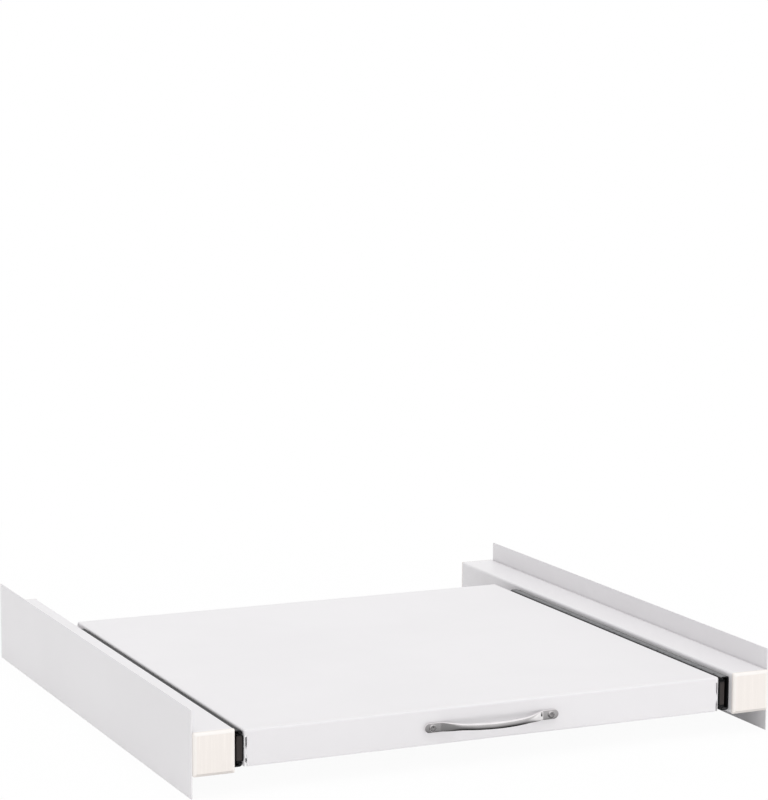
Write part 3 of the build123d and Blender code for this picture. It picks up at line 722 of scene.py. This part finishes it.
class KitMouldings(bpy.types.PropertyGroup):
    """Sizes of the moulded end caps and the ribbed rubber pads."""

    edge_radius: FloatProperty(
        name="Edge radius", description="Rounding around a cap's face",
        unit="LENGTH", default=3.0 * MM)
    corner_radius: FloatProperty(
        name="Corner radius", description="Radius of a cap's four corners",
        unit="LENGTH", default=1.5 * MM)
    flange: FloatProperty(
        name="Flange", description="Thickness of a cap in front of the tube",
        unit="LENGTH", default=3.8 * MM)
    wall: FloatProperty(
        name="Tube wall", description="Wall of the tube that a cap closes",
        unit="LENGTH", default=1.5 * MM)
    plug_gap: FloatProperty(
        name="Plug gap", description="Tube's wall to a cap's plug",
        unit="LENGTH", default=1.0 * MM)
    plug_wall: FloatProperty(
        name="Plug wall", description="Wall of a cap's hollow plug",
        unit="LENGTH", default=2.0 * MM)
    land: FloatProperty(
        name="Land", description="Flat strip that keeps a cap's face flat",
        unit="LENGTH", default=0.2 * MM)
    round_steps: IntProperty(
        name="Rounding steps", description="Rings across a cap's rounded edge", default=11)
    corner_points: IntProperty(
        name="Corner points", description="Points around each corner of a cap", default=9)
    rib_pitch: FloatProperty(
        name="Rib pitch", description="Rib to rib under a rubber pad",
        unit="LENGTH", default=4.0 * MM)
    rib_depth: FloatProperty(
        name="Rib depth", description="Depth of the grooves between ribs",
        unit="LENGTH", default=0.8 * MM)
    rib_steps: IntProperty(
        name="Rib steps", description="Rings across each rib", default=8)
    end_radius: FloatProperty(
        name="End radius", description="Radius of a pad's corners",
        unit="LENGTH", default=3.0 * MM)


class KitStudio(bpy.types.PropertyGroup):
    """Levels of the studio's light."""

    ambient: FloatProperty(
        name="Ambient", description="Level of the light from all round", default=0.75)
    front_power: FloatProperty(
        name="Front", description="Strength of the soft light from the front",
        default=0.575)
    top_power: FloatProperty(
        name="Top", description="Strength of the soft light from above",
        default=0.92)
    floor_shadow: FloatProperty(
        name="Floor shadow", description="How much of the shadow the floor shows",
        subtype="FACTOR", default=0.045, min=0.0, max=1.0)
    card_near: FloatProperty(
        name="Card, near", description="Level that metal reflects close to the shelf",
        default=0.01)
    card_dark: FloatProperty(
        name="Card, dark", description="Level that metal reflects from the front left",
        default=0.265)
    card_middle: FloatProperty(
        name="Card, middle", description="Level that metal reflects from straight ahead",
        default=0.44)
    card_light: FloatProperty(
        name="Card, light", description="Level that metal reflects from the right",
        default=1.0)
    card_wall: FloatProperty(
        name="Card, wall", description="Level that the tall card is drawn towards",
        default=0.70)


class KIT_OT_coated_steel(bpy.types.Operator):
    """Powder coat on the plates, beams, shelf and straps"""

    bl_idname = "kit.coated_steel"
    bl_label = "Coated steel"

    def execute(self, context):
        finish = context.scene.kit_finish
        names = both("side_plate", "beam")
        names += ["shelf_tray", "shelf_stiffener", "cross_strap_front", "cross_strap_rear"]
        paint(names, coat_material(finish))
        return {"FINISHED"}


class KIT_OT_end_caps(bpy.types.Operator):
    """The beams' end caps, moulded in cream plastic"""

    bl_idname = "kit.end_caps"
    bl_label = "End caps"

    def execute(self, context):
        plastic = cap_material(context.scene.kit_finish)
        size = context.scene.kit_mouldings
        for place in ("front", "rear"):
            for side in SIDES:
                node = f"end_cap_{place}_{side}"
                mesh = cap_mesh(node, place == "front", size)
                add_piece(f"cap_{place}_{side}", mesh, "frame", plastic, [node])
        return {"FINISHED"}


class KIT_OT_slides(bpy.types.Operator):
    """Finishes of the ball slides, their cages, balls, plugs and bumpers"""

    bl_idname = "kit.slides"
    bl_label = "Slides"

    def execute(self, context):
        finish = context.scene.kit_finish
        paint(["outer_rail_left"], rail_material(finish, "rail_steel_left", finish.left_dust_and_sheen))
        paint(["outer_rail_right"], rail_material(finish, "rail_steel_right", finish.right_dust_and_sheen))
        paint(both("inner_rail"), rail_material(finish, "rail_steel_inner", finish.inner_dust_and_sheen))
        paint(both("front_plug"), plug_material(finish))
        paint(both("rear_bumper"), rubber_material(finish))
        cage = plated_material("cage_strip_steel", finish.steel_colour, *CAGE_LINES)
        paint(both("ball_cage"), cage)
        ball = plated_material("ball_steel", finish.steel_colour, *BALL_LINES)
        for side in SIDES:
            node = f"balls_{side}"
            mesh = joined(f"ball_rows_{side}", [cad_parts[node].data])
            add_piece(f"ball_rows_{side}", mesh, f"cage_{side}", ball, [node])
        return {"FINISHED"}


class KIT_OT_fasteners(bpy.types.Operator):
    """Zinc plate on the screws and nuts"""

    bl_idname = "kit.fasteners"
    bl_label = "Fasteners"

    def execute(self, context):
        finish = context.scene.kit_finish
        zinc = plated_material("screw_zinc", finish.zinc_colour, *ZINC_LINES)
        names = both("outer_rail_screws", "inner_rail_screws", "inner_rail_nuts")
        paint(names + ["handle_nuts", "strap_screws"], zinc)
        return {"FINISHED"}


class KIT_OT_grip_pads(bpy.types.Operator):
    """The ribbed rubber pads under the beams"""

    bl_idname = "kit.grip_pads"
    bl_label = "Grip pads"

    def execute(self, context):
        rubber = rubber_material(context.scene.kit_finish)
        for side in SIDES:
            node = f"grip_pads_{side}"
            mesh = pad_mesh(node, context.scene.kit_mouldings)
            add_piece(f"ribbed_pads_{side}", mesh, "frame", rubber, [node])
        return {"FINISHED"}


class KIT_OT_handle(bpy.types.Operator):
    """The chromed bow handle and the heads of its screws, without their shanks"""

    bl_idname = "kit.handle"
    bl_label = "Handle"

    def execute(self, context):
        finish = context.scene.kit_finish
        size = context.scene.kit_handle
        bow = handle_mesh(size)
        chrome = plated_material("handle_chrome", finish.chrome_colour, *CHROME_LINES)
        add_piece("handle_bow", bow, "shelf", chrome, ["handle"])
        low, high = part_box("handle_screws")
        face_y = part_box("handle")[1].y - size.pad_thickness
        z = (low.z + high.z) / 2
        heads = []
        for x in (low.x + size.head_radius, high.x - size.head_radius):
            heads.append(screw_head_mesh(Vector((x, face_y, z)), size))
        mesh = joined("handle_screw_heads", heads)
        # The heads' darker plating is partly painted shade
        dull = plated_material("screw_chrome", finish.screw_colour_with_shade, *SCREW_LINES)
        add_piece("handle_screw_heads", mesh, "shelf", dull, ["handle_screws"])
        return {"FINISHED"}


def add_sun(name, direction, spread, strength):
    """A soft sun from a direction, spread over so many degrees, that no gloss shows."""
    light = bpy.data.lights.new(name, "SUN")
    light.angle = math.radians(spread)
    light.energy = strength
    lamp = bpy.data.objects.new(name, light)
    lamp.rotation_euler = Vector(direction).to_track_quat("Z", "Y").to_euler()
    lamp.visible_glossy = False
    bpy.context.scene.collection.objects.link(lamp)


def bright_rays(maker):
    """1 for camera, glossy and transmission rays, which see the plain background."""
    kinds = ("Is Camera Ray", "Is Glossy Ray", "Is Transmission Ray")
    camera, glossy, passing = (maker.node("ShaderNodeLightPath", output=kind) for kind in kinds)
    return (camera + glossy + passing).clamp()


def set_world(ambient):
    """White where the camera or a mirror looks, and a plain level for the light."""
    world = bpy.data.worlds.new("studio")
    world.use_nodes = True
    world.node_tree.nodes.clear()
    maker = Shade(world.node_tree)
    white = maker.node("ShaderNodeBackground", {}, {"Color": WHITE, "Strength": 1.0})
    level = maker.node("ShaderNodeBackground", {}, {"Color": WHITE, "Strength": ambient})
    sky = maker.node("ShaderNodeMixShader", {}, {0: bright_rays(maker), 1: level, 2: white})
    maker.node("ShaderNodeOutputWorld", {}, {"Surface": sky})
    bpy.context.scene.world = world


def floor_material(shadow_share):
    material, maker, place = new_material("floor_white")
    near = place.length().band(FLOOR_FAR, FLOOR_NEAR)
    lit = maker.node("ShaderNodeBsdfDiffuse", {}, {"Color": rgba(WHITE, FLOOR_LEVEL)})
    glow = maker.node("ShaderNodeEmission", {}, {"Color": WHITE, "Strength": 1.0})
    blend = bright_rays(maker) * (1.0 - near * shadow_share)
    top = maker.node("ShaderNodeMixShader", {}, {0: blend, 1: lit, 2: glow})
    clear = maker.node("ShaderNodeBsdfTransparent")
    below = maker.node("ShaderNodeNewGeometry", output="Backfacing")
    mixed = maker.node("ShaderNodeMixShader", {}, {0: below, 1: top, 2: clear})
    maker.node("ShaderNodeOutputMaterial", {}, {"Surface": mixed})
    return material


def add_stage_mesh(name, points, material):
    mesh = grid_mesh(name, points, closed=False)
    mesh.materials.append(material)
    piece = bpy.data.objects.new(name, mesh)
    bpy.context.scene.collection.objects.link(piece)
    return piece


def add_floor(shadow_share):
    x, y = np.meshgrid([-FLOOR_HALF, FLOOR_HALF], [-FLOOR_HALF, FLOOR_HALF])
    points = np.stack([x, y, np.full(x.shape, -FLOOR_GAP)], axis=-1)
    floor = add_stage_mesh("floor", points, floor_material(shadow_share))
    floor.visible_shadow = False


def turn_level(maker, studio, x, ahead):
    """A card's level by the angle atan2(x, ahead): dark, middle, then light on the right."""
    angle = maker.math("ARCTAN2", x, ahead)
    level = studio.card_dark + (studio.card_middle - studio.card_dark) * angle.band(*CARD_LEFT)
    return level + (studio.card_light - studio.card_middle) * angle.band(*CARD_RIGHT)


def ground_level(maker, studio, x, ahead):
    """The ground card's level: the turn's, but nearly black close to the grip."""
    beside = maker.math("MAXIMUM", maker.math("ABSOLUTE", x) - CARD_HALF, 0.0)
    away = maker.node("ShaderNodeCombineXYZ", {}, {"X": beside, "Y": ahead}).length()
    level = turn_level(maker, studio, x, ahead)
    return studio.card_near + (level - studio.card_near) * away.band(0.0, CARD_SHADE)


def wall_level(maker, studio, x, ahead):
    """The tall card's level: halfway between the turn's and its own."""
    return (turn_level(maker, studio, x, ahead) + studio.card_wall) * 0.5


def card_material(studio, name, level_of):
    """A glow that only metal sees, whose level depends on where on the card it looks."""
    material, maker, place = new_material(name)
    x, y, _ = place.axes()
    level = level_of(maker, studio, x, CARD_FRONT_Y - y)
    grey = level.mix(rgba((0, 0, 0)), WHITE)
    glow = maker.node("ShaderNodeEmission", {}, {"Color": grey})
    maker.node("ShaderNodeOutputMaterial", {}, {"Surface": glow})
    return material


def add_cards(studio):
    """The tall one is part of a cylinder, radius CARD_R. Only glossy rays see the two, so
    they shape what the handle reflects and throw no light or shadow.
    """
    angle = np.radians(np.linspace(*CARD_TURN, CARD_COLUMNS))[None, :]
    height = np.array([0.0, CARD_H])[:, None]
    x, y = CARD_R * np.sin(angle), CARD_FRONT_Y - CARD_R * np.cos(angle)
    shape = (2, angle.size)
    wall = [np.broadcast_to(part, shape) for part in (x, y, height)]
    glow = card_material(studio, "card_tall", wall_level)
    tall = add_stage_mesh("card_tall", np.stack(wall, axis=-1), glow)
    reach = np.array([0.0, 1.0])[:, None]
    flat = [reach * x, CARD_FRONT_Y + reach * (y - CARD_FRONT_Y), np.full(shape, CARD_LIFT)]
    glow = card_material(studio, "card_ground", ground_level)
    ground = add_stage_mesh("card_ground", np.stack(flat, axis=-1), glow)
    for card in (tall, ground):
        card.visible_camera = False
        card.visible_diffuse = False
        card.visible_transmission = False
        card.visible_volume_scatter = False
        card.visible_shadow = False


def add_camera():
    """The camera at the photograph's place, turned by its yaw, pitch and roll."""
    data = bpy.data.cameras.new("photo_camera")
    data.sensor_width = SENSOR
    data.lens = FOCAL_PX * SENSOR / max(PHOTO_W, PHOTO_H)
    data.clip_start, data.clip_end = CLIP_NEAR, CLIP_FAR
    camera = bpy.data.objects.new("photo_camera", data)
    level = math.cos(CAMERA_PITCH)
    forward = Vector(
        (math.sin(CAMERA_YAW) * level, math.cos(CAMERA_YAW) * level, math.sin(CAMERA_PITCH))
    )
    right = Vector((math.cos(CAMERA_YAW), -math.sin(CAMERA_YAW), 0.0))
    up = right.cross(forward)
    cr, sr = math.cos(CAMERA_ROLL), math.sin(CAMERA_ROLL)
    right, up = right * cr + up * sr, up * cr - right * sr
    turn = Matrix((right, up, -forward)).transposed().to_4x4()
    camera.matrix_world = Matrix.Translation(CAMERA_AT) @ turn
    bpy.context.scene.collection.objects.link(camera)
    bpy.context.scene.camera = camera


class KIT_OT_stage(bpy.types.Operator):
    """Floor, soft light, white surroundings and the photograph's camera"""

    bl_idname = "kit.stage"
    bl_label = "Stage"

    def execute(self, context):
        studio = context.scene.kit_studio
        set_world(studio.ambient)
        add_floor(studio.floor_shadow)
        add_cards(studio)
        add_sun("front_light", FRONT_DIRECTION, FRONT_SPREAD, studio.front_power)
        add_sun("top_light", TOP_DIRECTION, TOP_SPREAD, studio.top_power)
        add_camera()
        context.scene.view_settings.view_transform = "Standard"
        return {"FINISHED"}


class KIT_PT_panel(bpy.types.Panel):
    bl_idname = "KIT_PT_panel"
    bl_label = "Stacking kit"
    bl_space_type = "VIEW_3D"
    bl_region_type = "UI"
    bl_category = "Stacking kit"

    def draw(self, context):
        for step in STEPS:
            self.layout.operator(step.bl_idname)
        for group in (getattr(context.scene, name) for name in GROUPS):
            column = self.layout.column(align=True)
            for key in group.__annotations__:
                column.prop(group, key)


GROUPS = {
    "kit_finish": KitFinish,
    "kit_handle": KitHandle,
    "kit_mouldings": KitMouldings,
    "kit_studio": KitStudio,
}
STEPS = (
    KIT_OT_coated_steel,
    KIT_OT_end_caps,
    KIT_OT_slides,
    KIT_OT_fasteners,
    KIT_OT_grip_pads,
    KIT_OT_handle,
    KIT_OT_stage,
)


def register():
    for kind in (*GROUPS.values(), *STEPS, KIT_PT_panel):
        bpy.utils.register_class(kind)
    for name, group in GROUPS.items():
        setattr(bpy.types.Scene, name, PointerProperty(type=group))


def unregister():
    for name in GROUPS:
        delattr(bpy.types.Scene, name)
    for kind in reversed((*GROUPS.values(), *STEPS, KIT_PT_panel)):
        bpy.utils.unregister_class(kind)


def main():
    """Runs every step."""
    register()
    bpy.ops.kit.coated_steel()
    bpy.ops.kit.end_caps()
    bpy.ops.kit.slides()
    bpy.ops.kit.fasteners()
    bpy.ops.kit.grip_pads()
    bpy.ops.kit.handle()
    bpy.ops.kit.stage()


if __name__ == "__main__":
    main()
